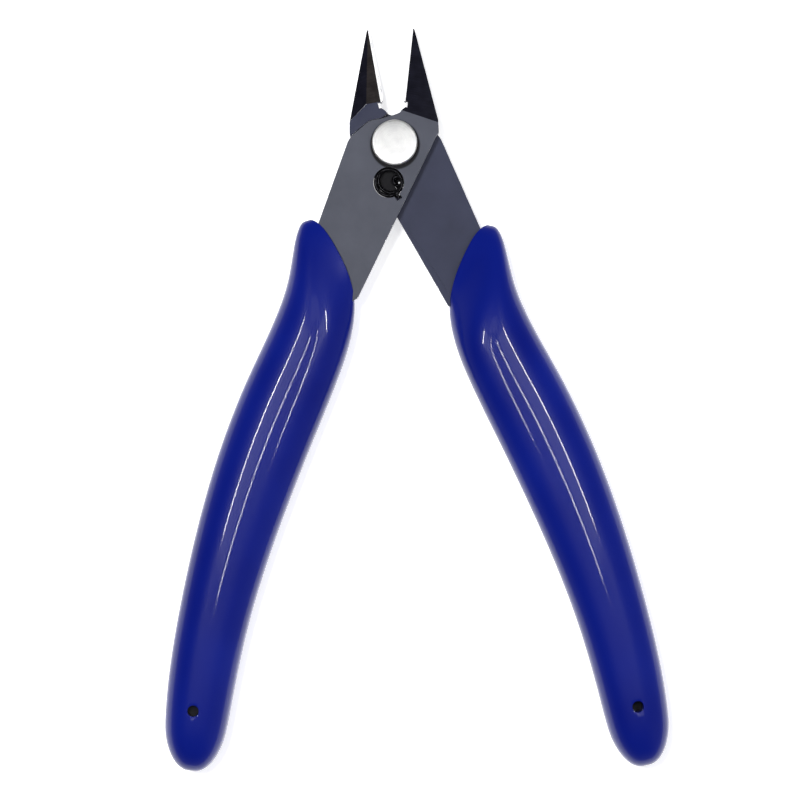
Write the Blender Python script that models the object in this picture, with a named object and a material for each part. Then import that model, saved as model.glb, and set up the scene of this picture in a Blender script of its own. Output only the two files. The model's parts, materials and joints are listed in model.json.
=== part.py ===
"""Flush cut pliers: two lapped steel levers on one rivet, a wire return spring in the levers' holes, and two
moulded grips. The tool lies on its grips and stands open against its stop."""

import math

import bmesh
import bpy
from mathutils import Matrix, Vector

# Sizes are in millimetres and angles in degrees. X runs across the tool, Y from the handles to the jaws and
# Z along the rivet. A half is drawn with the tool closed, the rivet's axis at the origin, its jaw at +X, its
# handle at -X, its plate at +Z and the root of its jaw at -Z. The rear half is the same, turned about Y.
MM = 0.001

OPEN_ANGLE = 21.0  # between closed and the stop
PLATE = 2.5  # thickness of each lever where they lap
LAP_GAP = 0.1  # between the lapped faces, and under the rivet's heads
STOP_GAP = 0.1  # from a jaw's root to the other lever, at the stop
EDGE_GAP = 0.03  # from the tool's axis to a cutting edge, with the tool closed

JAW_LENGTH = 19.6  # rivet axis to tip
JAW_WIDTH = 7.0  # tool axis to the jaw's outer corner
JAW_CORNER = 2.8  # rivet axis to that corner, along Y
JAW_FLANK = 4.8  # where the jaw's outer edge starts to taper
FLANK_SETBACK = 0.4
TIP_WIDTH = 0.45
TIP_THICKNESS = 1.2
EDGE_START = 9.0  # where the cutting edge begins, from the rivet axis
NOTCH_DEPTH = 0.86  # relief between the cutting edge and the throat
NOTCH_LENGTH = 2.0  # of its rounded top
NOTCH_END = 6.1
EDGE_BEVEL = 9.0  # of the cutting bevel from the jaw's side
HEEL_STRIP = 0.42  # width of the bevel over the notch
HEEL_STRIP_HEIGHT = 1.5
SHOULDER_DROP = 0.3  # from the front lever's face down to the rear jaw's shoulder
FRONT_GRIND = [(0.95, 5.4), (6.64, 4.4)]  # base line of the front jaw's ground face
REAR_GRIND = [(1.0, 7.15), (3.2, 7.25), (6.24, 5.23)]  # base lines of the rear jaw's two ground faces

# The plate's top edge, from the throat over to the lever's outer edge.
CREST = [(0.3, 5.5), (0.0, 5.0), (-1.4, 4.25), (-3.04, 3.5), (-4.7, 2.84), (-6.87, 0.42), (-7.4, -0.3)]

LEVER_OUTER = (-7.7, -1.0)  # upper end of the lever's outer edge
LEVER_OUTER_SLOPE = 0.2
LEVER_INNER = (6.65, 2.06)  # upper end of the lever's inner edge
LEVER_INNER_SLOPE = 0.3135
TANG_WIDTH = 6.5
SHOULDER_RISE = 0.1  # from the grip's mouth up to where the lever starts to narrow to its tang
NECK_LENGTH = 1.4  # over which it narrows
NECK_INSET = 1.2  # of the tang's top from the lever's inner edge

HANDLE_LENGTH = 108.0  # rivet axis to the end of the left grip
NUB_TOP = 14.7  # rivet axis to the top of a grip's nub
NUB_WIDTH = 1.75  # of the nub beside the lever's outer edge
MOUTH_END = 26.4  # rivet axis to the inner end of a grip's mouth
MOUTH_SIDE = 0.5  # of the grip beside the lever's inner edge
MOUTH_BULGE = 1.6  # of the mouth's outline, up the lever
BULGE_FADE = 3  # cross-sections over which that bulge fades out
BULGE_SKEW = 0.7  # exponent that moves the bulge's middle towards the nub, 1 for none
BULGE_ROUND = 2.6  # exponent of the bulge's outline
MOUTH_LIP = 0.8  # of the grip over the lever's faces, at its mouth
GRIP_THICKNESS = 9.4
GRIP_SWELL = 11.0  # length over which the grip reaches that thickness
GRIP_END_ROUND = 9.0
GRIP_END_POWER = 2.5  # exponent of the end's outline, 2 for an ellipse
GRIP_SQUARENESS = 2.5  # exponent of the oval cross-section, 2 for an ellipse
GRIP_SIDES = 24
GRIP_GAP = 0.3  # around the tang
PIN_HOLE = 1.9  # hole down to the tang, left by the pin that held it in the mould
PIN_TO_END = 10.2
PIN_OFFSET = 0.6  # outwards from the tang's middle
RIGHT_GRIP_DROP = 1.9  # the right grip sits this much further down its tang than the left one

# Each pair of an outer and an inner point is one cross-section of a grip: how far down the edge it lies, as
# a share of that edge's length, and how far out from the tool's axis. The mouth's own pair comes first.
OUTER_EDGE = [(0.01, 13.5), (0.045, 14.05), (0.12, 14.15), (0.205, 15.9), (0.31, 18.85), (0.435, 21.4),
              (0.57, 23.05), (0.7, 23.9), (0.82, 24.15), (0.925, 23.6), (1.0, 22.5)]
INNER_EDGE = [(0.029, 2.4), (0.069, 2.3), (0.126, 2.8), (0.211, 4.3), (0.298, 6.05), (0.406, 8.1),
              (0.532, 10.25), (0.668, 12.0), (0.8, 12.85), (0.914, 13.15), (1.0, 13.8)]
TANG_START, TANG_END = 4, 10  # cross-sections between which the tang keeps its width

RIVET_SHANK = 4.0
BORE_CLEARANCE = 0.05  # all round the shank
RIVET_HEAD = 7.5
RIVET_HEAD_HEIGHT = 0.9
RIVET_TAIL = 6.8
RIVET_TAIL_HEIGHT = 0.8
RIVET_ROUND = 0.25
DIMPLE = 1.8
DIMPLE_DEPTH = 0.3

SPRING_HOLE = 5.1  # in the front lever
REAR_SPRING_HOLE = 3.0
SPRING_HOLE_DROP = 6.65  # rivet axis to the holes' centres
SLOT_WIDTH = 1.0  # for the spring's end, in the side of its hole
SLOT_DEPTH = 0.8
SLOT_ANGLE = -48.0
WIRE = 0.6
WIRE_GAP = 0.15  # between the coils and their hole
COIL_INSET = 0.1  # of the coil's ends below the levers' faces
COIL_TURNS = 2  # whole turns in each hole
COIL_END = 0.1  # share of a lever's half of the coil that is straight at its wide end, and at its waist
COIL_STEPS = 38  # straight pieces in each lever's half of the coil

CUT = 5.0  # how far a cutter reaches past what it cuts
FAR = 60.0
ROUND_STEPS = 48
CREST_STEPS = 3  # straight pieces between two points of the crest
SWEEP_STEPS = 14  # places between closed and open at which the root's clearance is worked out
ROOT_ANGLES = range(87, 9, -6)  # directions from the rivet's axis in which it is worked out


def material(name, color, roughness, metallic):
    made = bpy.data.materials.new(name)
    made.use_nodes = True
    shader = made.node_tree.nodes["Principled BSDF"]
    shader.inputs["Base Color"].default_value = (*color, 1.0)
    shader.inputs["Roughness"].default_value = roughness
    shader.inputs["Metallic"].default_value = metallic
    return made


def new_object(name, mesh, parent, finish=None):
    made = bpy.data.objects.new(name, mesh)
    bpy.context.scene.collection.objects.link(made)
    made.parent = parent
    if finish:
        mesh.materials.append(finish)
    return made


def mesh_of(name, shape):
    """The mesh of a bmesh drawn in millimetres, with its faces pointing out."""
    shape.normal_update()
    bmesh.ops.recalc_face_normals(shape, faces=shape.faces)
    bmesh.ops.scale(shape, vec=Vector((MM, MM, MM)), verts=shape.verts)
    mesh = bpy.data.meshes.new(name)
    shape.to_mesh(mesh)
    shape.free()
    return mesh


def prism(name, outline, low, high):
    """Outline in the XY plane, extruded from low to high."""
    shape = bmesh.new()
    face = shape.faces.new([shape.verts.new((x, y, low)) for x, y in outline])
    raised = bmesh.ops.extrude_face_region(shape, geom=[face])["geom"]
    top = [item for item in raised if isinstance(item, bmesh.types.BMVert)]
    bmesh.ops.translate(shape, verts=top, vec=Vector((0, 0, high - low)))
    return mesh_of(name, shape)


def disc(radius, center=(0, 0)):
    turns = [2 * math.pi * i / ROUND_STEPS for i in range(ROUND_STEPS)]
    return [(center[0] + radius * math.cos(a), center[1] + radius * math.sin(a)) for a in turns]


def space_above(name, first, second, third):
    """A block on the upper side, away from Z = 0, of the plane through three points."""
    first, second, third = Vector(first), Vector(second), Vector(third)
    along = (second - first).normalized()
    normal = along.cross(third - first).normalized()
    normal *= math.copysign(1, normal.z * first.z)
    across = normal.cross(along)
    shape = bmesh.new()
    bmesh.ops.create_cube(shape, size=FAR)
    turn = Matrix((along, across, normal)).transposed()
    for vert in shape.verts:
        vert.co = first + turn @ (vert.co + Vector((0, 0, FAR / 2)))
    return mesh_of(name, shape)


def cut(target, cutter_mesh):
    """Subtracts a mesh, which stays as a wire child of the target."""
    cutter = new_object(cutter_mesh.name, cutter_mesh, target)
    cutter.hide_render = True
    cutter.display_type = "WIRE"
    modifier = target.modifiers.new(cutter.name, "BOOLEAN")
    modifier.operation = "DIFFERENCE"
    modifier.solver = "EXACT"
    modifier.object = cutter


def smooth(obj, angle=30.0):
    obj.data.shade_smooth()
    obj.data.set_sharp_from_angle(angle=math.radians(angle))


def curve_point(points, t):
    """The point at t on the smooth curve through points, which stand at 0, 1, 2 and so on."""
    last = len(points) - 1
    i = min(int(t), last - 1)
    start, end = Vector(points[i]), Vector(points[i + 1])
    before = Vector(points[i - 1]) if i > 0 else 2 * start - end
    after = Vector(points[i + 2]) if i + 2 <= last else 2 * end - start
    s = t - i
    square = 2 * before - 5 * start + 4 * end - after
    cube = 3 * start - 3 * end + after - before
    return 0.5 * (2 * start + (end - before) * s + square * s**2 + cube * s**3)


def lever_outer(down):
    """X of the lever's outer edge, this far below the rivet axis."""
    return LEVER_OUTER[0] - (down + LEVER_OUTER[1]) * LEVER_OUTER_SLOPE


def lever_inner(down):
    return LEVER_INNER[0] - (down + LEVER_INNER[1]) * LEVER_INNER_SLOPE


def grip_edges(t):
    """The outer and inner ends of cross-section t of the grip."""
    outer = curve_point([(0.0, NUB_WIDTH - lever_outer(NUB_TOP)), *OUTER_EDGE], t)
    inner = curve_point([(0.0, MOUTH_SIDE - lever_inner(MOUTH_END)), *INNER_EDGE], t)
    outer_down = NUB_TOP + outer.x * (HANDLE_LENGTH - NUB_TOP)
    inner_down = MOUTH_END + inner.x * (HANDLE_LENGTH - MOUTH_END)
    return Vector((-outer.y, -outer_down)), Vector((-inner.y, -inner_down))


def grip_middle(t):
    outer, inner = grip_edges(t)
    return (outer + inner) / 2


def section_at(down):
    """The cross-section whose middle lies this far below the rivet axis."""
    low, high = 0.0, float(len(OUTER_EDGE))
    for _ in range(40):
        middle = (low + high) / 2
        if -grip_middle(middle).y < down:
            low = middle
        else:
            high = middle
    return low


def tang_sides():
    """Outer and inner points of the tang, from the handle's top down."""
    step = 0.5
    count = int((TANG_END - TANG_START) / step)
    outer, inner = [], []
    for i in range(count + 1):
        t = TANG_START + i * step
        run = (grip_middle(t + 0.1) - grip_middle(t - 0.1)).normalized()
        side = Vector((run.y, -run.x)) * TANG_WIDTH / 2
        outer.append(grip_middle(t) + side)
        inner.append(grip_middle(t) - side)
    return outer, inner


def handle_sides(drop):
    """The lever below its head, for a grip that sits this much further down: outer and inner points from just
    above the grip down to the tang's end."""
    top = NUB_TOP - CUT
    shoulder = MOUTH_END - SHOULDER_RISE + drop
    neck = shoulder + NECK_LENGTH
    outer, inner = tang_sides()
    outer = [(lever_outer(top), -top), (lever_outer(MOUTH_END), -MOUTH_END), *outer]
    inner = [(lever_inner(top), -top), (lever_inner(shoulder), -shoulder),
             (lever_inner(neck) - NECK_INSET, -neck), *inner]
    return [Vector(p) for p in outer], [Vector(p) for p in inner]


def crest():
    """The plate's top edge as a smooth run of short straight pieces."""
    return [tuple(curve_point(CREST, i / CREST_STEPS)) for i in range(CREST_STEPS * (len(CREST) - 1) + 1)]


def lever_outline(drop):
    """The whole outline of a half, round from its tip."""
    outer, inner = handle_sides(drop)
    edge = [(EDGE_GAP, JAW_LENGTH), (EDGE_GAP, EDGE_START)]
    notch = [(NOTCH_DEPTH * (1 - math.cos(a)), EDGE_START - NOTCH_LENGTH * math.sin(a))
             for a in (math.radians(d) for d in (30, 50, 70, 90))]
    heel = [(NOTCH_DEPTH, NOTCH_END)]
    jaw = [LEVER_INNER, (JAW_WIDTH, JAW_CORNER), (JAW_WIDTH - FLANK_SETBACK, JAW_FLANK),
           (TIP_WIDTH, JAW_LENGTH - TIP_WIDTH / 2)]
    return edge + notch + heel + crest() + [LEVER_OUTER] + outer + inner[::-1] + jaw


def crest_radius(angle):
    """How far the other lever's crest lies from the rivet axis in one direction, with the tool closed."""
    ray = Vector((math.cos(angle), math.sin(angle)))
    points = [Vector((-x, y)) for x, y in [*crest(), LEVER_OUTER]]
    for a, b in zip(points, points[1:]):
        step = b - a
        across = ray.x * step.y - ray.y * step.x
        share = (ray.y * a.x - ray.x * a.y) / across
        if -1e-6 <= share <= 1 + 1e-6:
            return (a + step * share).dot(ray)
    return points[-1].length


def root_outline():
    """What the jaw's root leaves free for the other lever, from every place that it turns through."""
    turn = math.radians(OPEN_ANGLE) / SWEEP_STEPS
    points = []
    for degrees in ROOT_ANGLES:
        angle = math.radians(degrees)
        reach = max(crest_radius(angle - turn * i) for i in range(SWEEP_STEPS + 1)) + STOP_GAP
        points.append((reach * math.cos(angle), reach * math.sin(angle)))
    throat = points[0][1] + STOP_GAP
    return [(-FAR, throat), (points[0][0] / 2, throat), *points, (FAR, 0), (FAR, -3 * FAR), (-FAR, -3 * FAR)]


def cut_along_edge(lever, name, section, low, high):
    """Cuts the outline in the XZ plane away from the jaw's inner side, from low to high along Y."""
    cutter = prism(name, section, -high, -low)
    cutter.transform(Matrix.Rotation(math.radians(90), 4, "X"))
    cut(lever, cutter)


def grind(lever, side):
    """Grinds the jaw to a thin tip, on the lever's plate side (1) or on its root side (-1), and the cutting
    bevel that runs down to the flush face on the other side."""
    level = PLATE if side > 0 else SHOULDER_DROP - PLATE
    tip = (TIP_WIDTH / 2, JAW_LENGTH, side * (TIP_THICKNESS - PLATE))
    base = FRONT_GRIND if side > 0 else REAR_GRIND
    for number, (one, two) in enumerate(zip(base, base[1:])):
        cut(lever, space_above(f"ground_face_{number + 1}", (*one, level), (*two, level), tip))
    widest = EDGE_GAP + 2 * PLATE * math.tan(math.radians(EDGE_BEVEL))
    bevel = [(EDGE_GAP, -side * PLATE), (widest, side * PLATE), (-CUT, side * PLATE), (-CUT, -side * PLATE)]
    cut_along_edge(lever, "cutting_bevel", bevel, NOTCH_END, JAW_LENGTH + CUT)
    foot = level - side * HEEL_STRIP_HEIGHT
    strip = [(NOTCH_DEPTH, foot), (NOTCH_DEPTH + HEEL_STRIP, level), (-CUT, level), (-CUT, foot)]
    cut_along_edge(lever, "heel_bevel", strip, NOTCH_END, EDGE_START - NOTCH_LENGTH)


def spring_hole(diameter):
    """The hole's outline, round but for the slot that holds the spring's end."""
    center = Vector((0, -SPRING_HOLE_DROP))
    radius = diameter / 2
    middle = math.radians(SLOT_ANGLE)
    half = math.asin(SLOT_WIDTH / 2 / radius)
    out = Vector((math.cos(middle), math.sin(middle)))
    aside = Vector((-out.y, out.x)) * SLOT_WIDTH / 2
    points = [center + out * (radius + SLOT_DEPTH) - aside, center + out * (radius + SLOT_DEPTH) + aside]
    for i in range(ROUND_STEPS + 1):
        angle = middle + half + (2 * math.pi - 2 * half) * i / ROUND_STEPS
        points.append(center + radius * Vector((math.cos(angle), math.sin(angle))))
    return [(p.x, p.y) for p in points]


def make_lever(name, parent, finish, side):
    """A half: its plate at +Z, its jaw the full height. Side says which face of the jaw is ground."""
    bottom = -PLATE if side > 0 else SHOULDER_DROP - PLATE
    hole = SPRING_HOLE if side > 0 else REAR_SPRING_HOLE
    drop = 0.0 if side > 0 else RIGHT_GRIP_DROP
    lever = new_object(name, prism(name, lever_outline(drop), bottom, PLATE), parent, finish)
    cut(lever, prism("lap", root_outline(), -PLATE - CUT, LAP_GAP / 2))
    cut(lever, prism("bore", disc(RIVET_SHANK / 2 + BORE_CLEARANCE), -PLATE - CUT, PLATE + CUT))
    cut(lever, prism("spring_hole", spring_hole(hole), -PLATE - CUT, PLATE + CUT))
    grind(lever, side)
    return lever


def grip_point(t, share):
    """A point of the grip's plan, this share of the way from its outer to its inner edge."""
    outer, inner = grip_edges(t)
    chord = inner - outer
    aside = abs(2 * share**BULGE_SKEW - 1) ** BULGE_ROUND
    bulge = MOUTH_BULGE * (1 - aside) * max(0.0, 1 - t / BULGE_FADE) ** 2
    return outer + chord * share + Vector((-chord.y, chord.x)).normalized() * bulge


def grip_ring(t):
    """The oval of cross-section t. It starts as a lip round the lever and ends in a rounded end."""
    down = -grip_middle(t).y
    swell = min(1.0, (down - (NUB_TOP + MOUTH_END) / 2) / GRIP_SWELL)
    swell = math.sin(swell * math.pi / 2)
    half = GRIP_THICKNESS / 2
    high = PLATE + MOUTH_LIP + (half - PLATE - MOUTH_LIP) * swell
    low = LAP_GAP / 2 - MOUTH_LIP - (half + LAP_GAP / 2 - MOUTH_LIP) * swell
    end = max(0.0, 1 - (HANDLE_LENGTH - down) / GRIP_END_ROUND)
    shrink = (1 - end**GRIP_END_POWER) ** (1 / GRIP_END_POWER)
    power = 2 / GRIP_SQUARENESS
    crown = math.cos(math.pi / GRIP_SIDES) ** power
    ring = []
    for i in range(GRIP_SIDES):
        angle = 2 * math.pi * (i + 0.5) / GRIP_SIDES
        cosine, sine = math.cos(angle), math.sin(angle)
        share = 0.5 - 0.5 * math.copysign(abs(cosine) ** power, cosine) * shrink
        rise = math.copysign(abs(sine) ** power, sine) / crown * shrink
        plan = grip_point(t, share)
        ring.append((plan.x, plan.y, (high + low) / 2 + rise * (high - low) / 2))
    return ring


def grip_stations():
    last = len(OUTER_EDGE)
    mouth = [0, 0.2, 0.5, 0.8, 1.1, 1.5, 2, 2.5, 3, 3.5]
    body = [TANG_START + 0.5 * i for i in range(2 * (last - 1 - TANG_START) + 1)]
    end = [last - 1 + share for share in (0.25, 0.45, 0.6, 0.72, 0.82, 0.9, 0.96, 0.99)]
    return mouth + body + end


def cap(shape, ring):
    """Closes a ring with strips that run through the grip's thickness."""
    count = len(ring)
    for i in range(count // 2 - 1):
        shape.faces.new((ring[i], ring[i + 1], ring[count - 2 - i], ring[count - 1 - i]))


def grip_pocket(drop):
    """The handle's outline with the gap all round it."""
    outer, inner = handle_sides(drop)
    outline = outer + inner[::-1]
    count = len(outline)
    grown = []
    for i, point in enumerate(outline):
        before = (point - outline[i - 1]).normalized()
        after = (outline[(i + 1) % count] - point).normalized()
        out = Vector((before.y + after.y, -before.x - after.x)).normalized()
        spread = max(0.5, out.dot(Vector((after.y, -after.x))))
        grown.append(point + out * GRIP_GAP / spread)
    return grown


def make_grip_mesh(drop):
    """The grip without its hollows, moved down the handle from its place on the left tang."""
    shape = bmesh.new()
    rings = [[shape.verts.new(p) for p in grip_ring(t)] for t in grip_stations()]
    for one, two in zip(rings, rings[1:]):
        for i in range(len(one)):
            shape.faces.new((one[i - 1], one[i], two[i], two[i - 1]))
    cap(shape, rings[0])
    cap(shape, rings[-1])
    run = (grip_middle(TANG_END) - grip_middle(TANG_START)).normalized() * drop
    bmesh.ops.translate(shape, verts=shape.verts, vec=Vector((run.x, run.y, 0)))
    return mesh_of("grip", shape)


def make_grip(name, parent, finish, side, drop):
    """A grip whose front, where its pin hole opens, is at +Z (side 1) or at -Z (side -1)."""
    grip = new_object(name, make_grip_mesh(drop), parent, finish)
    smooth(grip)
    cut(grip, prism("tang_pocket", grip_pocket(drop), LAP_GAP / 2 - GRIP_GAP, PLATE + GRIP_GAP))
    t = section_at(HANDLE_LENGTH - PIN_TO_END + drop)
    outer, inner = grip_edges(t)
    center = grip_middle(t) + (outer - inner).normalized() * PIN_OFFSET
    low, high = sorted((PLATE / 2, side * GRIP_THICKNESS))
    cut(grip, prism("pin_hole", disc(PIN_HOLE / 2, center), low, high))
    return grip


def make_rivet(parent, finish):
    """A turned shape: flat head at the front, formed and dimpled tail at the back."""
    front = PLATE + LAP_GAP / 2
    top = front + RIVET_HEAD_HEIGHT
    bottom = -front - RIVET_TAIL_HEIGHT
    head, tail, shank, dimple = RIVET_HEAD / 2, RIVET_TAIL / 2, RIVET_SHANK / 2, DIMPLE / 2
    profile = [(0, top), (head - RIVET_ROUND, top)]
    for angle in (60, 30, 0):
        a = math.radians(angle)
        profile.append((head + RIVET_ROUND * (math.cos(a) - 1), top + RIVET_ROUND * (math.sin(a) - 1)))
    profile += [(head, front), (shank, front), (shank, -front), (tail, -front)]
    profile += [(tail, bottom + 2 * RIVET_ROUND), (tail - 2 * RIVET_ROUND, bottom)]
    profile += [(dimple, bottom), (0, bottom + DIMPLE_DEPTH)]
    shape = bmesh.new()
    verts = [shape.verts.new((x, 0, z)) for x, z in profile]
    edges = [shape.edges.new(pair) for pair in zip(verts, verts[1:])]
    bmesh.ops.spin(shape, geom=verts + edges, axis=(0, 0, 1), steps=ROUND_STEPS, angle=2 * math.pi)
    bmesh.ops.remove_doubles(shape, verts=shape.verts, dist=0.001)
    rivet = new_object("pivot_rivet", mesh_of("pivot_rivet", shape), parent, finish)
    smooth(rivet)
    return rivet


def coil_half(hole, other):
    """The front lever's half of the coil, from its end in the slot to its waist, where both holes, which are
    this wide, lie over one another."""
    half_open = math.radians(OPEN_ANGLE / 2)
    aside = SPRING_HOLE_DROP * math.sin(half_open)
    down = SPRING_HOLE_DROP * math.cos(half_open)
    inset = WIRE_GAP + WIRE / 2
    widest = hole / 2 - inset
    narrowest = (hole + other) / 4 - aside - inset
    crossing = (hole - other) / 4
    high = PLATE - COIL_INSET - WIRE / 2
    start = math.radians(SLOT_ANGLE) - half_open
    sweep = math.radians(90 + 360 * COIL_TURNS) - start
    path = []
    for reach in (hole / 2 + SLOT_DEPTH - WIRE / 2, hole / 2, widest + WIRE / 4):
        path.append((-aside + reach * math.cos(start), reach * math.sin(start) - down, high))
    for i in range(1, COIL_STEPS + 1):
        share = 1 - i / COIL_STEPS
        spread = min(1.0, max(0.0, (share - COIL_END) / (1 - 2 * COIL_END)))
        spread *= spread * (3 - 2 * spread)
        angle = start + sweep * (1 - share)
        radius = narrowest + (widest - narrowest) * spread
        center = crossing - (crossing + aside) * spread
        path.append((center + radius * math.cos(angle), radius * math.sin(angle) - down, high * share))
    return path


def spring_path():
    """The wire's middle: an hourglass coil with a wide end in each lever's hole and its waist between them.
    The rear half is drawn as a front one and turned about Y."""
    front = coil_half(SPRING_HOLE, REAR_SPRING_HOLE)
    rear = coil_half(REAR_SPRING_HOLE, SPRING_HOLE)
    return front[:-1] + [(-x, y, -z) for x, y, z in reversed(rear)]


def make_spring(parent, finish):
    wire = bpy.data.curves.new("return_spring", "CURVE")
    wire.dimensions = "3D"
    wire.bevel_depth = WIRE / 2 * MM
    wire.bevel_resolution = 2
    wire.use_fill_caps = True
    path = spring_path()
    spline = wire.splines.new("POLY")
    spline.points.add(len(path) - 1)
    for point, place in zip(spline.points, path):
        point.co = (*(Vector(place) * MM), 1.0)
    return new_object("return_spring", wire, parent, finish)


def empty(name, parent=None, turn=0.0):
    made = bpy.data.objects.new(name, None)
    bpy.context.scene.collection.objects.link(made)
    made.parent = parent
    made.rotation_euler.z = math.radians(turn)
    return made


def lowest_middle(objects):
    """The middle of the bottom of the box round all the objects."""
    bpy.context.view_layer.update()
    graph = bpy.context.evaluated_depsgraph_get()
    points = []
    for obj in objects:
        evaluated = obj.evaluated_get(graph)
        mesh = evaluated.to_mesh()
        points += [evaluated.matrix_world @ vert.co for vert in mesh.vertices]
        evaluated.to_mesh_clear()
    low = Vector(min(p[i] for p in points) for i in range(3))
    high = Vector(max(p[i] for p in points) for i in range(3))
    return Vector(((low.x + high.x) / 2, (low.y + high.y) / 2, low.z))


def main():
    for obj in list(bpy.data.objects):
        bpy.data.objects.remove(obj)
    steel = material("blasted_steel", (0.11, 0.118, 0.15), 0.55, 0.6)
    bright = material("bright_steel", (0.8, 0.8, 0.8), 0.25, 1.0)
    black = material("black_wire", (0.02, 0.02, 0.022), 0.4, 0.8)
    blue = material("blue_vinyl", (0.006, 0.013, 0.22), 0.3, 0.0)

    tool = empty("tool")
    front_half = empty("front_half", tool, -OPEN_ANGLE / 2)
    rear_half = empty("rear_half", tool, OPEN_ANGLE / 2)

    front_lever = make_lever("front_lever", front_half, steel, 1)
    left_grip = make_grip("left_grip", front_half, blue, 1, 0.0)
    rear_lever = make_lever("rear_lever", rear_half, steel, -1)
    right_grip = make_grip("right_grip", rear_half, blue, -1, RIGHT_GRIP_DROP)
    for turned in (rear_lever, right_grip):
        turned.rotation_euler.y = math.pi

    rivet = make_rivet(front_half, bright)
    spring = make_spring(tool, black)
    parts = [front_lever, rear_lever, left_grip, right_grip, rivet, spring]
    tool.location = -lowest_middle(parts)


main()
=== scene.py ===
import json
import math

import bmesh
import bpy
from mathutils import Matrix, Vector


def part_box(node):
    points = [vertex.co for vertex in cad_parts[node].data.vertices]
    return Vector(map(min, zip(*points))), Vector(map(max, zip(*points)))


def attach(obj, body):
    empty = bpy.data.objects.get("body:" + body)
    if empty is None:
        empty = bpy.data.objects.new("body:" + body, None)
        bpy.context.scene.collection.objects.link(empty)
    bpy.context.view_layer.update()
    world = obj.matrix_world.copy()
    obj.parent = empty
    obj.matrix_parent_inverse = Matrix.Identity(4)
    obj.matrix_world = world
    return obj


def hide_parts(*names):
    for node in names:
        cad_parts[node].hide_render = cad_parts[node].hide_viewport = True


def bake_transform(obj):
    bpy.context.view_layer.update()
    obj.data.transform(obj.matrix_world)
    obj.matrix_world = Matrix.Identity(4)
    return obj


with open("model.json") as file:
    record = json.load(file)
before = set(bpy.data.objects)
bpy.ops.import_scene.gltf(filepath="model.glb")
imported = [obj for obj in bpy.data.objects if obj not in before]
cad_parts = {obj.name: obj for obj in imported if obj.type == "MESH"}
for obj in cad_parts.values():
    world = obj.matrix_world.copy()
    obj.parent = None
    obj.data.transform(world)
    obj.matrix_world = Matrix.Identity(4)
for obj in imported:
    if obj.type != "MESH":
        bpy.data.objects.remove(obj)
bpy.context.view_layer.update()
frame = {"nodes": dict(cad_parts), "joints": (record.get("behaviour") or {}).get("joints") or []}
print("frame loaded:", sorted(frame["nodes"]))

mm = 0.001
pivotJoint = frame["joints"][0]
pivot = Vector(pivotJoint["pos_m"])  # on the rivet's axis, half way between the two plates
halfOpen = math.radians(-pivotJoint["range_deg"][0] / 2)

# a half is drawn closed, in millimetres, with the rivet's axis at the origin:
# its jaw points to +Y on the +X side, and its handle to -Y on the -X side
frontPlace = Matrix.Translation(pivot) @ Matrix.Rotation(-halfOpen, 4, "Z") @ Matrix.Scale(mm, 4)
rearPlace = (Matrix.Translation(pivot) @ Matrix.Rotation(halfOpen, 4, "Z")
             @ Matrix.Rotation(math.pi, 4, "Y") @ Matrix.Scale(mm, 4))


def pickNothing():
    bpy.ops.object.select_all(action="DESELECT")


def pick(piece):
    pickNothing()
    piece.select_set(True)
    bpy.context.view_layer.objects.active = piece


def edit(piece, *steps):
    # opens the piece with all of it selected, runs the steps and closes it again
    pick(piece)
    bpy.ops.object.mode_set(mode="EDIT")
    bpy.ops.mesh.select_all(action="SELECT")
    for step in steps:
        step()
    bpy.ops.object.mode_set(mode="OBJECT")


def newPiece(name):
    # names what an operator has just added
    piece = bpy.context.active_object
    piece.name = name
    piece.data.name = name
    return piece


def linkPiece(name, data):
    pickNothing()
    piece = bpy.data.objects.new(name, data)
    bpy.context.scene.collection.objects.link(piece)
    pick(piece)
    return piece


def applyAll(piece):
    pick(piece)
    for modifier in list(piece.modifiers):
        bpy.ops.object.modifier_apply(modifier=modifier.name)


def place(piece, matrix):
    piece.data.transform(matrix)
    piece.data.update()


def cutWith(piece, cutter):
    modifier = piece.modifiers.new("cut", "BOOLEAN")
    modifier.operation = "DIFFERENCE"
    modifier.solver = "EXACT"
    modifier.object = cutter
    applyAll(piece)
    bpy.data.objects.remove(cutter)


def roundEdges(piece, width, segments, angle, material=-1, harden=False):
    modifier = piece.modifiers.new("round", "BEVEL")
    modifier.width = width * mm
    modifier.segments = segments
    modifier.limit_method = "ANGLE"
    modifier.angle_limit = math.radians(angle)
    modifier.miter_outer = "MITER_ARC"
    modifier.material = material
    modifier.harden_normals = harden
    applyAll(piece)


def shadeByAngle(piece, degrees):
    pick(piece)
    bpy.ops.object.shade_smooth_by_angle(angle=math.radians(degrees))


def copyOf(node, name):
    # a copy of a CAD solid with its triangles merged back into flat faces
    merge = {"distance": 0.002, "flatWithin": 0.5}
    piece = linkPiece(name, frame["nodes"][node].data.copy())
    piece.data.materials.clear()
    bpy.ops.mesh.customdata_custom_splitnormals_clear()
    edit(piece,
         lambda: bpy.ops.mesh.remove_doubles(threshold=merge["distance"] * mm),
         lambda: bpy.ops.mesh.dissolve_limited(angle_limit=math.radians(merge["flatWithin"])))
    return piece


class Wire:
    # one output in a node tree, on which sums and products add Math nodes
    def __init__(self, nodes, output):
        self.nodes = nodes
        self.output = output

    def maths(self, operation, first, second):
        return self.nodes.add("ShaderNodeMath", {"operation": operation}, {0: first, 1: second})

    def __add__(self, other):
        return self.maths("ADD", self, other)

    def __radd__(self, other):
        return self.maths("ADD", other, self)

    def __mul__(self, other):
        return self.maths("MULTIPLY", self, other)

    def __rmul__(self, other):
        return self.maths("MULTIPLY", other, self)


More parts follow.
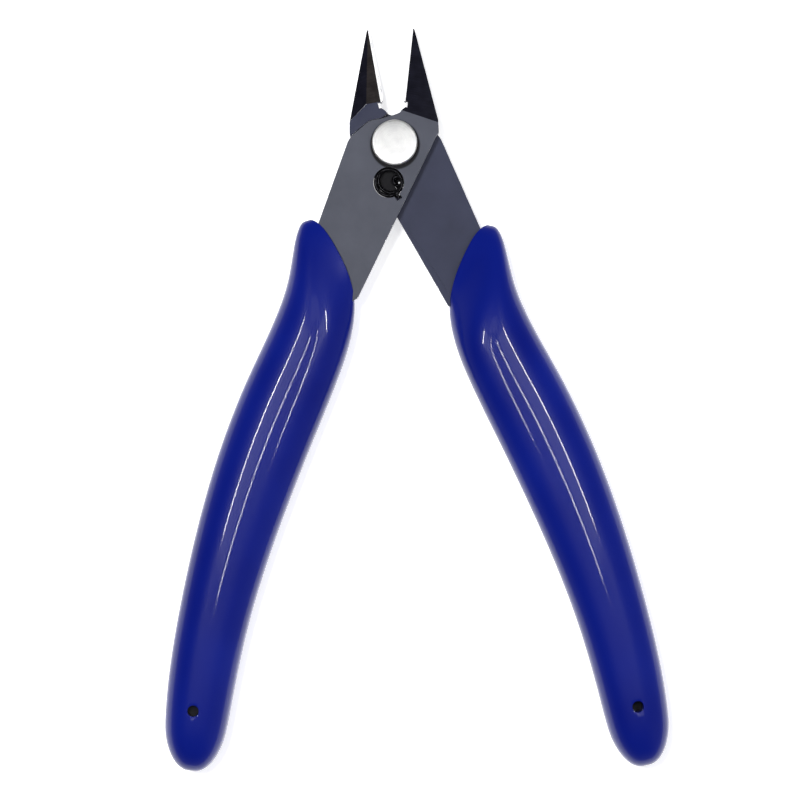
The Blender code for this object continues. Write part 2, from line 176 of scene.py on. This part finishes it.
class Nodes:
    # a node tree and the one way that nodes are added to it
    def __init__(self, tree):
        self.tree = tree

    def add(self, kind, settings, inputs, output=0):
        node = self.tree.nodes.new(kind)
        for setting, value in settings.items():
            if setting == "stops":
                self.setStops(node.color_ramp, value)
            else:
                setattr(node, setting, value)
        for socket, value in inputs.items():
            if isinstance(value, Wire):
                self.tree.links.new(value.output, node.inputs[socket])
            else:
                node.inputs[socket].default_value = value
        return Wire(self, node.outputs[output])

    def setStops(self, ramp, stops):
        while len(ramp.elements) < len(stops):
            ramp.elements.new(1.0)
        for element, (where, shade) in zip(ramp.elements, stops):
            element.position = where
            element.color = shade


class Paint(Nodes):
    # a material, its nodes and the shader that they feed
    def __init__(self, name, fixed):
        self.material = bpy.data.materials.new(name)
        self.material.use_nodes = True
        super().__init__(self.material.node_tree)
        self.shader = self.tree.nodes["Principled BSDF"]
        self.place = self.add("ShaderNodeTexCoord", {}, {}, "Object")
        for socket, value in fixed.items():
            self.shader.inputs[socket].default_value = value

    def feed(self, **wires):
        for socket, wire in wires.items():
            self.tree.links.new(wire.output, self.shader.inputs[socket.replace("_", " ")])

    def moved(self, location=(0, 0, 0), turn=0.0, scale=(1, 1, 1)):
        return self.add("ShaderNodeMapping", {"vector_type": "TEXTURE"},
                        {"Vector": self.place, "Location": location, "Rotation": (0, 0, turn),
                         "Scale": scale})

    def noise(self, size, where=None, detail=3.0, roughness=0.55):
        # a noise whose spots are about this many millimetres across
        return self.add("ShaderNodeTexNoise", {},
                        {"Vector": where or self.place, "Scale": 1 / (size * mm), "Detail": detail,
                         "Roughness": roughness})

    def between(self, wire, low, high, lowValue=0.0, highValue=1.0):
        return self.add("ShaderNodeMapRange", {"clamp": True},
                        {"Value": wire, "From Min": low, "From Max": high, "To Min": lowValue,
                         "To Max": highValue})

    def colours(self, share, first, second):
        # inputs 6 and 7 of a Mix node are its two colours, and output 2 is the mixed one
        return self.add("ShaderNodeMix", {"data_type": "RGBA"}, {"Factor": share, 6: first, 7: second}, 2)

    def radius(self, centre):
        # distance from an upright axis through this point
        centred = self.moved(location=tuple(centre))
        flat = self.add("ShaderNodeVectorMath", {"operation": "MULTIPLY"}, {0: centred, 1: (1, 1, 0)})
        return self.add("ShaderNodeVectorMath", {"operation": "LENGTH"}, {0: flat}, "Value")

    def bump(self, height, depth, strength):
        return self.add("ShaderNodeBump", {},
                        {"Height": height, "Distance": depth * mm, "Strength": strength})


def colour(red, green, blue):
    return (red, green, blue, 1.0)


def scaledColour(tone, factor):
    return colour(*(factor * part for part in tone))


noiseSpread = (0.3, 0.7)  # where nearly all of a noise's values lie


def blastedSteel(name, tone, shadeSpot, shadeSpotRadius):
    # matte grey; a round spot at this place, in millimetres from the rivet's axis, is painted shade:
    # near-black, standing in for the shadow round the rivet's head on the front half and for the shade inside
    # the spring's hole on the rear half
    look = {"metal": 0.3, "low": 0.86, "high": 1.12, "grain": 0.16, "clouds": 5.0, "grainShare": 0.35,
            "rough": (0.46, 0.6), "depth": 0.012, "strength": 0.6,
            "shadeSpot": colour(0.004, 0.004, 0.006), "fade": 0.12,
            "pinHoleShade": colour(0.006, 0.006, 0.008),  # painted shade: the tang inside its grip, seen only at the bottom of the pin holes, is painted near-black
            "pinHoleShadeFrom": 40.0, "pinHoleShadeTo": 45.0}
    paint = Paint(name, {"Metallic": look["metal"]})
    grain = paint.noise(look["grain"], detail=2.0)
    clouds = paint.noise(look["clouds"])
    share = paint.between(look["grainShare"] * grain + (1 - look["grainShare"]) * clouds, *noiseSpread)
    steel = paint.colours(share, scaledColour(tone, look["low"]), scaledColour(tone, look["high"]))
    # painted shade: a near-black round spot, faded over its rim, where the plate lies in shadow
    radius = paint.radius(pivot + Vector((*shadeSpot, 0)) * mm)
    outsideShade = paint.between(radius, (shadeSpotRadius - look["fade"]) * mm, (shadeSpotRadius + look["fade"]) * mm)
    plate = paint.colours(outsideShade, look["shadeSpot"], steel)
    # painted shade in the pin holes: the tang is near-black from this distance from the rivet's axis on
    pinHoleShade = paint.between(paint.radius(pivot), look["pinHoleShadeFrom"] * mm, look["pinHoleShadeTo"] * mm)
    paint.feed(Base_Color=paint.colours(pinHoleShade, plate, look["pinHoleShade"]),
               Roughness=paint.between(grain, *noiseSpread, *look["rough"]),
               Normal=paint.bump(grain, look["depth"], look["strength"]))
    return paint.material


def groundSteel(name, turn, tone):
    # ground faces with fine wheel marks across the jaw, painted near-black: the colour is a painted dark
    # reflection
    look = {"gloss": 0.15, "low": 0.55, "high": 1.5, "mark": 0.08, "long": 40.0, "clouds": 2.2,
            "markShare": 0.5, "spread": (0.35, 0.65), "rough": (0.3, 0.45), "depth": 0.004, "strength": 0.5}
    paint = Paint(name, {"Metallic": 0.0, "Specular IOR Level": look["gloss"]})
    along = paint.moved(turn=math.radians(turn), scale=(look["long"], 1, look["long"]))
    marks = paint.noise(look["mark"], along, detail=2.0)
    clouds = paint.noise(look["clouds"])
    share = paint.between(look["markShare"] * marks + (1 - look["markShare"]) * clouds, *look["spread"])
    paint.feed(Base_Color=paint.colours(share, scaledColour(tone, look["low"]),
                                        scaledColour(tone, look["high"])),
               Roughness=paint.between(clouds, *noiseSpread, *look["rough"]),
               Normal=paint.bump(marks, look["depth"], look["strength"]))
    return paint.material


def brightBevel(name, wear):
    # the honed strip along a cutting edge, dark where it is worn away
    look = {"mark": 0.06, "long": 30.0, "patch": 2.4, "fade": 0.05,
            "dark": colour(0.74, 0.74, 0.76), "light": colour(0.93, 0.93, 0.93),
            "worn": colour(0.3, 0.3, 0.32), "rough": (0.16, 0.32), "depth": 0.003, "strength": 0.4}
    paint = Paint(name, {"Metallic": 1.0})
    marks = paint.noise(look["mark"], paint.moved(scale=(look["long"], 1, 1)), detail=2.0)
    worn = paint.between(paint.noise(look["patch"]), wear, wear + look["fade"])
    bright = paint.colours(paint.between(marks, *noiseSpread), look["dark"], look["light"])
    paint.feed(Base_Color=paint.colours(worn, bright, look["worn"]),
               Roughness=paint.between(marks, *noiseSpread, *look["rough"]),
               Normal=paint.bump(marks, look["depth"], look["strength"]))
    return paint.material


def wornEdge():
    # rounded corners where the grey finish has rubbed through to bare steel
    look = {"metal": 0.9, "patch": 1.4, "spread": (0.4, 0.58), "grey": colour(0.12, 0.125, 0.15),
            "bare": colour(0.72, 0.72, 0.74), "rough": (0.5, 0.28)}
    paint = Paint("worn_edge", {"Metallic": look["metal"]})
    rubbed = paint.between(paint.noise(look["patch"], detail=4.0), *look["spread"])
    paint.feed(Base_Color=paint.colours(rubbed, look["grey"], look["bare"]),
               Roughness=paint.between(rubbed, 0, 1, *look["rough"]))
    return paint.material


def brightRivet():
    # bright steel with faint turning rings
    look = {"ring": 0.12, "clouds": 1.3, "ringShare": 0.4, "spread": (0.35, 0.65),
            "dark": colour(0.8, 0.8, 0.79), "light": colour(0.97, 0.97, 0.95), "rough": (0.3, 0.42)}
    paint = Paint("bright_rivet", {"Metallic": 1.0})
    rings = paint.add("ShaderNodeTexNoise", {"noise_dimensions": "1D"},
                      {"W": paint.radius(pivot), "Scale": 1 / (look["ring"] * mm)})
    clouds = paint.noise(look["clouds"])
    share = paint.between(look["ringShare"] * rings + (1 - look["ringShare"]) * clouds, *look["spread"])
    paint.feed(Base_Color=paint.colours(share, look["dark"], look["light"]),
               Roughness=paint.between(clouds, *noiseSpread, *look["rough"]))
    return paint.material


def blackWire():
    look = {"metal": 0.9, "clouds": 0.5, "spread": (0.35, 0.7), "dark": colour(0.01, 0.01, 0.012),
            "light": colour(0.04, 0.04, 0.045), "rough": (0.22, 0.42), "depth": 0.004, "strength": 0.4}
    paint = Paint("black_wire", {"Metallic": look["metal"]})
    clouds = paint.noise(look["clouds"])
    share = paint.between(clouds, *look["spread"])
    paint.feed(Base_Color=paint.colours(share, look["dark"], look["light"]),
               Roughness=paint.between(clouds, *noiseSpread, *look["rough"]),
               Normal=paint.bump(clouds, look["depth"], look["strength"]))
    return paint.material


def blueVinyl():
    # moulded plastic with a thin gloss over it
    look = {"gloss": 0.2, "coat": 0.4, "coatRough": 0.05, "clouds": 14.0,
            "dark": colour(0.001, 0.0065, 0.165), "light": colour(0.0015, 0.0095, 0.2), "rough": (0.28, 0.34)}
    paint = Paint("blue_vinyl", {"Specular IOR Level": look["gloss"], "Coat Weight": look["coat"],
                                 "Coat Roughness": look["coatRough"]})
    share = paint.between(paint.noise(look["clouds"], detail=1.0), *noiseSpread)
    paint.feed(Base_Color=paint.colours(share, look["dark"], look["light"]),
               Roughness=paint.between(share, 0, 1, *look["rough"]))
    return paint.material


# front half: its dark spot is the painted shadow ring round the rivet's head, thickest below it
frontSteel = blastedSteel("blasted_steel_front", (0.095, 0.101, 0.128), (0.06, -0.3), 4.12)
# rear half: the same steel in a darker, bluer tone as painted shade, for it lies lower; its dark spot is the
# painted shade inside the spring's hole
rearSteelShaded = blastedSteel("blasted_steel_rear_shaded", (0.046, 0.051, 0.088), (-1.21, -6.54), 2.75)
# painted shading: each ground face's tone follows how light falls on it, the rear jaw's inner facet lighter
# and its outer facet darkest
frontGround = groundSteel("ground_steel_front", -12, (0.008, 0.008, 0.014))
rearGround = groundSteel("ground_steel_rear", 14, (0.022, 0.019, 0.019))
rearOuterGround = groundSteel("ground_steel_rear_outer", 28, (0.006, 0.006, 0.011))
frontBevel = brightBevel("bright_cut_bevel", 0.75)
rearBevel = brightBevel("worn_cut_bevel", 0.56)
rubbedEdge = wornEdge()
vinyl = blueVinyl()
print("finishes made")


leverLook = {
    "edgeRound": 0.12, "edgeSteps": 2, "edgeAngle": 20, "smoothAngle": 25,
    "jawRoot": 4.0, "bevelTop": 5.9,  # how far up from the rivet's axis the ground faces and the bevel begin
    "leastTilt": 0.03, "groundTilt": 0.4, "mostTilt": 0.998,  # how far a face turns to the ground side
    "bevelTurn": -0.5, "outerTurn": 0.1,  # how far it turns sideways
}


def finishLever(node, name, matrix, groundSide, finishes, body):
    # the CAD solid with broken edges and each ground face in its own finish
    look = leverLook
    piece = copyOf(node, name)
    for finish in finishes.values():
        piece.data.materials.append(finish)
    order = list(finishes)
    back = matrix.inverted()
    turn = back.to_3x3().normalized()
    for face in piece.data.polygons:
        middle = back @ face.center
        normal = turn @ face.normal
        towardsGround = normal.z * groundSide
        if middle.y < look["jawRoot"]:
            continue
        onCuttingSide = normal.x < look["bevelTurn"] and middle.y > look["bevelTop"]
        if towardsGround > look["leastTilt"] and onCuttingSide:
            face.material_index = order.index("bevel")
        elif look["groundTilt"] < towardsGround < look["mostTilt"]:
            face.material_index = order.index("outer" if normal.x > look["outerTurn"] else "ground")
    shadeByAngle(piece, look["smoothAngle"])
    roundEdges(piece, look["edgeRound"], look["edgeSteps"], look["edgeAngle"], order.index("edge"), True)
    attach(piece, body)
    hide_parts(node)


finishLever("front_lever", "front_lever_steel", frontPlace, 1,
            {"plate": frontSteel, "ground": frontGround, "bevel": frontBevel, "edge": rubbedEdge,
             "outer": frontGround}, "front_half")
finishLever("rear_lever", "rear_lever_steel", rearPlace, -1,
            {"plate": rearSteelShaded, "ground": rearGround, "bevel": rearBevel, "edge": rubbedEdge,
             "outer": rearOuterGround}, "rear_half")
print("steel halves finished")


def turnedPiece(name, profile, sides):
    # a round piece on Z, pulled up from a disc through each radius and height of the profile
    radius, height = profile[0]
    bpy.ops.mesh.primitive_circle_add(vertices=sides, radius=radius * mm, fill_type="NGON",
                                      location=(pivot.x, pivot.y, pivot.z + height * mm))
    piece = newPiece(name)

    def pull():
        lastRadius, lastHeight = profile[0]
        for nextRadius, nextHeight in profile[1:]:
            bpy.ops.mesh.extrude_region_move(
                TRANSFORM_OT_translate={"value": (0, 0, (nextHeight - lastHeight) * mm)})
            share = nextRadius / lastRadius
            bpy.ops.transform.resize(value=(share, share, 1), center_override=tuple(pivot))
            lastRadius, lastHeight = nextRadius, nextHeight

    edit(piece, pull,
         lambda: bpy.ops.mesh.select_all(action="SELECT"),
         lambda: bpy.ops.mesh.normals_make_consistent(inside=False))
    pick(piece)
    bpy.ops.object.transform_apply(location=True, rotation=True, scale=True)
    return piece


rivetSize = {
    "shank": 2.0, "face": 2.55, "centre": 0.05, "sides": 96, "smoothAngle": 30,
    "head": 3.75, "headStep": 0.08, "top": 3.45, "edge": 0.22, "edgeStep": 15,
    "crown": 0.03, "crownAt": 2.2, "crownDrop": 0.01, "crownFlat": 1.0,
    "tail": 3.4, "bottom": -3.35, "tailEdge": 0.45, "tailRise": 0.2, "corner": 0.12,
    "dimple": 0.9, "dimpleDepth": 0.3, "dimpleFloor": 0.6, "dimpleRise": 0.2, "dimpleBrim": 0.02,
}


def makeRivet():
    # drawn from the middle of its formed tail, up its shank and over its flat head
    size = rivetSize
    head, top, edge = size["head"], size["top"], size["edge"]
    tail, bottom, face = size["tail"], size["bottom"], size["face"]
    profile = [(size["centre"], bottom + size["dimpleDepth"]),
               (size["dimple"] * size["dimpleFloor"], bottom + size["dimpleRise"]),
               (size["dimple"], bottom + size["dimpleBrim"]),
               (size["dimple"] + size["corner"], bottom),
               (tail - size["tailEdge"], bottom),
               (tail - size["corner"], bottom + size["tailRise"]),
               (tail, bottom + size["tailEdge"]),
               (tail, -face), (size["shank"], -face), (size["shank"], face),
               (head - size["headStep"], face), (head, face + size["headStep"])]
    for degrees in range(0, 91, size["edgeStep"]):
        angle = math.radians(degrees)
        profile.append((head - edge * (1 - math.cos(angle)),
                        top - size["crown"] - edge * (1 - math.sin(angle))))
    profile += [(size["crownAt"], top - size["crownDrop"]), (size["crownFlat"], top), (size["centre"], top)]
    rivet = turnedPiece("rivet_bright", profile, size["sides"])
    rivet.data.materials.append(brightRivet())
    shadeByAngle(rivet, size["smoothAngle"])
    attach(rivet, "front_half")
    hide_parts("pivot_rivet")


makeRivet()
print("rivet made")


springSize = {
    "frontHole": 2.55, "rearHole": 1.5, "plate": 2.5,
    "drop": 6.65,  # from the rivet's axis down to the holes
    "slotAngle": -48.0, "slotDepth": 0.8,
    "wire": 0.6, "wireRound": 5, "gap": 0.07, "inset": 0.1, "smoothAngle": 50,
    "frontTurns": 3, "rearTurns": 2, "steps": 150,
    "straight": 0.1, "wide": 0.36,  # shares of a half that stay narrow and wide
    "blend": 1.2,
}


def coilHalf(hole, other, turns):
    # one plate's half of the coil, from its end in the slot to its waist, where both holes overlap
    size = springSize
    aside = size["drop"] * math.sin(halfOpen)
    down = size["drop"] * math.cos(halfOpen)
    inset = size["gap"] + size["wire"] / 2
    widest = hole - inset
    narrowest = (hole + other) / 2 - aside - inset
    crossing = (hole - other) / 2
    high = size["plate"] - size["inset"] - size["wire"] / 2
    start = math.radians(size["slotAngle"]) - halfOpen
    sweep = math.radians(90 + 360 * turns) - start
    route = []
    for reach in (hole + size["slotDepth"] - size["wire"] / 2, hole, widest + size["wire"] / 4):
        route.append((reach * math.cos(start) - aside, reach * math.sin(start) - down, high))
    for i in range(1, size["steps"] + 1):
        share = 1 - i / size["steps"]
        spread = min(1.0, max(0.0, (share - size["straight"]) / (1 - size["straight"] - size["wide"])))
        spread *= spread * (3 - 2 * spread)  # eased at both ends
        angle = start + sweep * (1 - share)
        radius = narrowest + (widest - narrowest) * spread
        centre = crossing - (crossing + aside) * spread
        route.append((centre + radius * math.cos(angle), radius * math.sin(angle) - down, high * share))
    return route


def springRoute():
    # an hourglass: wide in each plate's hole, narrow where it passes between the plates
    size = springSize
    front = coilHalf(size["frontHole"], size["rearHole"], size["frontTurns"])
    rear = coilHalf(size["rearHole"], size["frontHole"], size["rearTurns"])
    return front[:-1] + [(-x, y, -z) for x, y, z in reversed(rear)]


def makeSpring():
    size = springSize
    wire = bpy.data.curves.new("spring_wire", "CURVE")
    wire.dimensions = "3D"
    wire.bevel_depth = size["wire"] / 2 * mm
    wire.bevel_resolution = size["wireRound"]
    wire.use_fill_caps = True
    route = springRoute()
    line = wire.splines.new("POLY")
    line.points.add(len(route) - 1)
    for point, where in zip(line.points, route):
        point.co = (*(pivot + Vector(where) * mm), 1.0)
    linkPiece("spring_wire", wire)
    bpy.ops.object.convert(target="MESH")
    spring = newPiece("spring_wire")
    spring.data.materials.append(blackWire())
    shadeByAngle(spring, size["smoothAngle"])
    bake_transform(spring)
    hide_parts("return_spring")


makeSpring()
print("return spring made")


gripSize = {
    "length": 108.0,  # rivet's axis to the grip's end
    "nubTop": 14.7, "nubWidth": 1.75,
    "mouthEnd": 26.4, "mouthSide": 0.5, "lip": 0.8,
    "mouthBulge": 1.6, "bulgeLean": 0.7, "bulgePower": 2.6, "bulgeStations": 3,
    "leverOuter": (-7.7, -1.0, 0.2),  # a point and the slope of the lever's outer edge
    "leverInner": (6.65, 2.06, 0.3135),
    "thickness": 9.4, "plate": 2.5, "lapGap": 0.1,
    "swell": 11.0, "endRound": 9.0, "endPower": 2.5, "squareness": 2.5,
    "pinHole": 0.95, "pinToEnd": 10.2, "pinOffset": 0.6, "pinSides": 48,
    "sides": 32, "mouthStations": (0, 0.12, 0.35, 0.65, 1, 1.5, 2, 2.5, 3, 3.5),
    "evenFrom": 4, "endShares": (0.25, 0.45, 0.6, 0.72, 0.82, 0.9, 0.96, 0.99),
    "slideStations": (4, 10), "halvings": 40,
    "mouthCrease": 0.75, "levels": 2, "fit": 0.05, "rim": 0.14, "rimSteps": 2, "rimAngle": 50,
    "smoothAngle": 40,
}

# share of an edge's length, and how far out from the tool's axis it lies there
outerEdge = [(0.01, 13.5), (0.045, 14.05), (0.12, 14.15), (0.205, 15.9), (0.31, 18.85), (0.435, 21.4),
             (0.57, 23.05), (0.7, 23.9), (0.82, 24.15), (0.925, 23.6), (1.0, 22.5)]
innerEdge = [(0.029, 2.4), (0.069, 2.3), (0.126, 2.8), (0.211, 4.3), (0.298, 6.05), (0.406, 8.1),
             (0.532, 10.25), (0.668, 12.0), (0.8, 12.85), (0.914, 13.15), (1.0, 13.8)]


def edgeX(edge, down):
    x, y, slope = edge
    return x - (down + y) * slope


def smoothPoint(points, t):
    # a smooth curve through the points, where t counts them
    last = len(points) - 1
    i = min(int(t), last - 1)
    start, end = Vector(points[i]), Vector(points[i + 1])
    before = Vector(points[i - 1]) if i > 0 else 2 * start - end
    after = Vector(points[i + 2]) if i + 2 <= last else 2 * end - start
    s = t - i
    return 0.5 * (2 * start + (end - before) * s + (2 * before - 5 * start + 4 * end - after) * s ** 2
                  + (3 * start - 3 * end + after - before) * s ** 3)


def gripEdges(t):
    # where the grip's outer and inner edges lie at station t
    size = gripSize
    nub = (0.0, size["nubWidth"] - edgeX(size["leverOuter"], size["nubTop"]))
    mouth = (0.0, size["mouthSide"] - edgeX(size["leverInner"], size["mouthEnd"]))
    outer = smoothPoint([nub, *outerEdge], t)
    inner = smoothPoint([mouth, *innerEdge], t)
    outerDown = size["nubTop"] + outer.x * (size["length"] - size["nubTop"])
    innerDown = size["mouthEnd"] + inner.x * (size["length"] - size["mouthEnd"])
    return Vector((-outer.y, -outerDown)), Vector((-inner.y, -innerDown))


def gripMiddle(t):
    outer, inner = gripEdges(t)
    return (outer + inner) / 2


def gripRing(t):
    # the oval at station t, from a thin lip round the lever at the mouth to the rounded end
    size = gripSize
    outer, inner = gripEdges(t)
    chord = inner - outer
    side = Vector((-chord.y, chord.x)).normalized()
    down = -gripMiddle(t).y
    swell = min(1.0, (down - (size["nubTop"] + size["mouthEnd"]) / 2) / size["swell"])
    swell = math.sin(swell * math.pi / 2)
    half = size["thickness"] / 2
    high = size["plate"] + size["lip"] + (half - size["plate"] - size["lip"]) * swell
    low = size["lapGap"] / 2 - size["lip"] - (half + size["lapGap"] / 2 - size["lip"]) * swell
    end = max(0.0, 1 - (size["length"] - down) / size["endRound"])
    shrink = (1 - end ** size["endPower"]) ** (1 / size["endPower"])
    power = 2 / size["squareness"]
    reach = size["mouthBulge"] * max(0.0, 1 - t / size["bulgeStations"]) ** 2
    ring = []
    for i in range(size["sides"]):
        angle = 2 * math.pi * (i + 0.5) / size["sides"]
        cosine, sine = math.cos(angle), math.sin(angle)
        share = 0.5 - 0.5 * math.copysign(abs(cosine) ** power, cosine) * shrink
        rise = math.copysign(abs(sine) ** power, sine) * shrink
        skew = abs(2 * share ** size["bulgeLean"] - 1) ** size["bulgePower"]
        plan = outer + chord * share + side * (reach * (1 - skew))
        ring.append((plan.x, plan.y, (high + low) / 2 + rise * (high - low) / 2))
    return ring


def gripStations():
    # close together at the mouth and the rounded end, evenly spaced between them
    size = gripSize
    last = len(outerEdge) - 1
    even = [size["evenFrom"] + 0.5 * i for i in range(2 * (last - size["evenFrom"]) + 1)]
    return [*size["mouthStations"], *even, *(last + share for share in size["endShares"])]


def gripCage(name):
    # the rings joined up, with both ends closed and the mouth's rim kept crisp
    size = gripSize
    sides = size["sides"]
    shape = bmesh.new()
    rings = [[shape.verts.new(point) for point in gripRing(t)] for t in gripStations()]
    for one, two in zip(rings, rings[1:]):
        for i in range(sides):
            shape.faces.new((one[i - 1], one[i], two[i], two[i - 1]))
    for ring in (rings[0], rings[-1]):
        for i in range(sides // 2 - 1):
            shape.faces.new((ring[i], ring[i + 1], ring[sides - 2 - i], ring[sides - 1 - i]))
    crease = shape.edges.layers.float.new("crease_edge")
    for i in range(sides):
        shape.edges.get((rings[0][i - 1], rings[0][i]))[crease] = size["mouthCrease"]
    bmesh.ops.recalc_face_normals(shape, faces=shape.faces)
    mesh = bpy.data.meshes.new(name)
    shape.to_mesh(mesh)
    shape.free()
    return linkPiece(name, mesh)


def sectionAt(down):
    # the station whose middle lies this far down from the rivet's axis
    low, high = 0.0, float(len(outerEdge))
    for _ in range(gripSize["halvings"]):
        middle = (low + high) / 2
        if -gripMiddle(middle).y < down:
            low = middle
        else:
            high = middle
    return low


def slideToTop(grip, node, matrix):
    # the right grip sits further down its tang, so the drop is read from the solids' tops
    start, end = (gripMiddle(t) for t in gripSize["slideStations"])
    run = (end - start).normalized()
    turned = matrix.to_3x3().normalized() @ Vector((run.x, run.y, 0))
    top = max(point.co.y for point in grip.data.vertices)
    drop = (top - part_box(node)[1].y) / -turned.y
    place(grip, Matrix.Translation(turned * drop))
    return drop / mm


def drillPinHole(grip, matrix, drop):
    # from the front down to the middle of the tang
    size = gripSize
    t = sectionAt(size["length"] - size["pinToEnd"] + drop)
    outer, inner = gripEdges(t)
    centre = gripMiddle(t) + (outer - inner).normalized() * size["pinOffset"]
    above = Vector((0, 0, size["thickness"])) * mm
    where = matrix @ Vector((centre.x, centre.y, size["plate"] / 2)) + above
    bpy.ops.mesh.primitive_cylinder_add(vertices=size["pinSides"], radius=size["pinHole"] * mm,
                                        depth=2 * size["thickness"] * mm, location=tuple(where))
    cutWith(grip, newPiece("pin_cutter"))


def makeGrip(name, node, lever, matrix, body):
    size = gripSize
    grip = gripCage(name)
    place(grip, matrix)
    drop = slideToTop(grip, node, matrix)
    modifier = grip.modifiers.new("smooth", "SUBSURF")
    modifier.levels = size["levels"]
    modifier.render_levels = size["levels"]
    applyAll(grip)
    cutter = copyOf(lever, "tang_cutter")
    edit(cutter, lambda: bpy.ops.transform.shrink_fatten(value=size["fit"] * mm, use_even_offset=True))
    cutWith(grip, cutter)
    drillPinHole(grip, matrix, drop)
    roundEdges(grip, size["rim"], size["rimSteps"], size["rimAngle"])
    grip.data.materials.clear()
    grip.data.materials.append(vinyl)
    shadeByAngle(grip, size["smoothAngle"])
    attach(grip, body)
    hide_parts(node)


makeGrip("left_grip_vinyl", "left_grip", "front_lever", frontPlace, "front_half")
makeGrip("right_grip_vinyl", "right_grip", "rear_lever", rearPlace, "rear_half")
print("grips moulded")


def studioFloor():
    look = {"size": 6.0, "clouds": 60.0, "dark": colour(0.9, 0.9, 0.9), "light": colour(0.94, 0.94, 0.94),
            "rough": 0.9, "gloss": 0.1, "glow": 0.6}
    pickNothing()
    bpy.ops.mesh.primitive_plane_add(size=look["size"], location=(0, 0, 0))
    floor = newPiece("studio_floor")
    paint = Paint("pale_floor", {"Roughness": look["rough"], "Specular IOR Level": look["gloss"],
                                 "Emission Strength": look["glow"], "Emission Color": colour(1, 1, 1)})
    paint.feed(Base_Color=paint.colours(paint.noise(look["clouds"]), look["dark"], look["light"]))
    floor.data.materials.append(paint.material)


def softbox(name, where, target, size, watts, mirrored, turn=0.0):
    bpy.ops.object.light_add(type="AREA", location=where)
    lamp = bpy.context.active_object
    lamp.name = name
    lamp.rotation_euler = (Vector(target) - Vector(where)).to_track_quat("-Z", "Y").to_euler()
    lamp.rotation_euler.z += math.radians(turn)
    lamp.data.shape = "RECTANGLE"
    lamp.data.size, lamp.data.size_y = size
    lamp.data.energy = watts
    lamp.visible_camera = False
    lamp.visible_glossy = mirrored


def overhead(name, x, y, size, watts, turn=0.0):
    # a small lamp that looks straight down, there to be mirrored in the grips and the rivet
    height = 0.5
    softbox(name, (x, y, height), (x, y, 0), size, watts, True, turn)


def studioLight():
    softboxes = {"key_softbox": ((-0.24, 0.2, 1.1), (0.2, 0.2), 9.0),  # place, size and watts
                 "fill_softbox": ((0.9, -0.3, 0.8), (0.9, 0.9), 4.0)}
    pairs = {"outer_strip_": (0.145, 0.036, (0.007, 0.08), 0.2, 22),  # x, y, size, watts and turn
             "inner_strip_": (0.04, -0.015, (0.0022, 0.08), 0.06, 24.7),
             "panel_": (0.092, 0.01, (0.085, 0.08), 0.03, 23)}
    for name, (where, size, watts) in softboxes.items():
        softbox(name, where, (0, 0, 0), size, watts, False)
    for side, sideName in ((-1, "left"), (1, "right")):
        for name, (x, y, size, watts, turn) in pairs.items():
            overhead(name + sideName, x * side, y, size, watts, turn * side)
    overhead("rivet_card", 0, 0.073, (0.1, 0.06), 0.014)


def studioWorld():
    # grey round the horizon, darker overhead
    look = {"horizon": colour(0.4, 0.4, 0.41), "top": colour(0.08, 0.08, 0.09), "topFrom": 0.6}
    world = bpy.data.worlds.new("studio")
    bpy.context.scene.world = world
    world.use_nodes = True
    sky = Nodes(world.node_tree)
    direction = sky.add("ShaderNodeTexCoord", {}, {}, "Generated")
    height = sky.add("ShaderNodeSeparateXYZ", {}, {0: direction}, "Z")
    shade = sky.add("ShaderNodeValToRGB",
                    {"stops": [(0.0, look["horizon"]), (look["topFrom"], look["top"])]}, {0: height})
    sky.tree.links.new(shade.output, sky.tree.nodes["Background"].inputs["Color"])


def placeCamera():
    view = {"lens": 200.0, "width": 132.8, "roll": -2.03, "centre": (-0.908, 0.174), "farthest": 20.0}
    camera = bpy.data.cameras.new("camera")
    camera.lens = view["lens"]
    camera.clip_end = view["farthest"]
    distance = view["width"] * mm * camera.lens / camera.sensor_width
    x, y = view["centre"]
    holder = bpy.data.objects.new("camera", camera)
    holder.location = (x * mm, y * mm, pivot.z + distance)
    holder.rotation_euler = (0, 0, math.radians(view["roll"]))
    bpy.context.scene.collection.objects.link(holder)
    bpy.context.scene.camera = holder


studioFloor()
studioLight()
studioWorld()
placeCamera()
bpy.context.scene.view_settings.view_transform = "Standard"
print("stage, lights and camera placed")
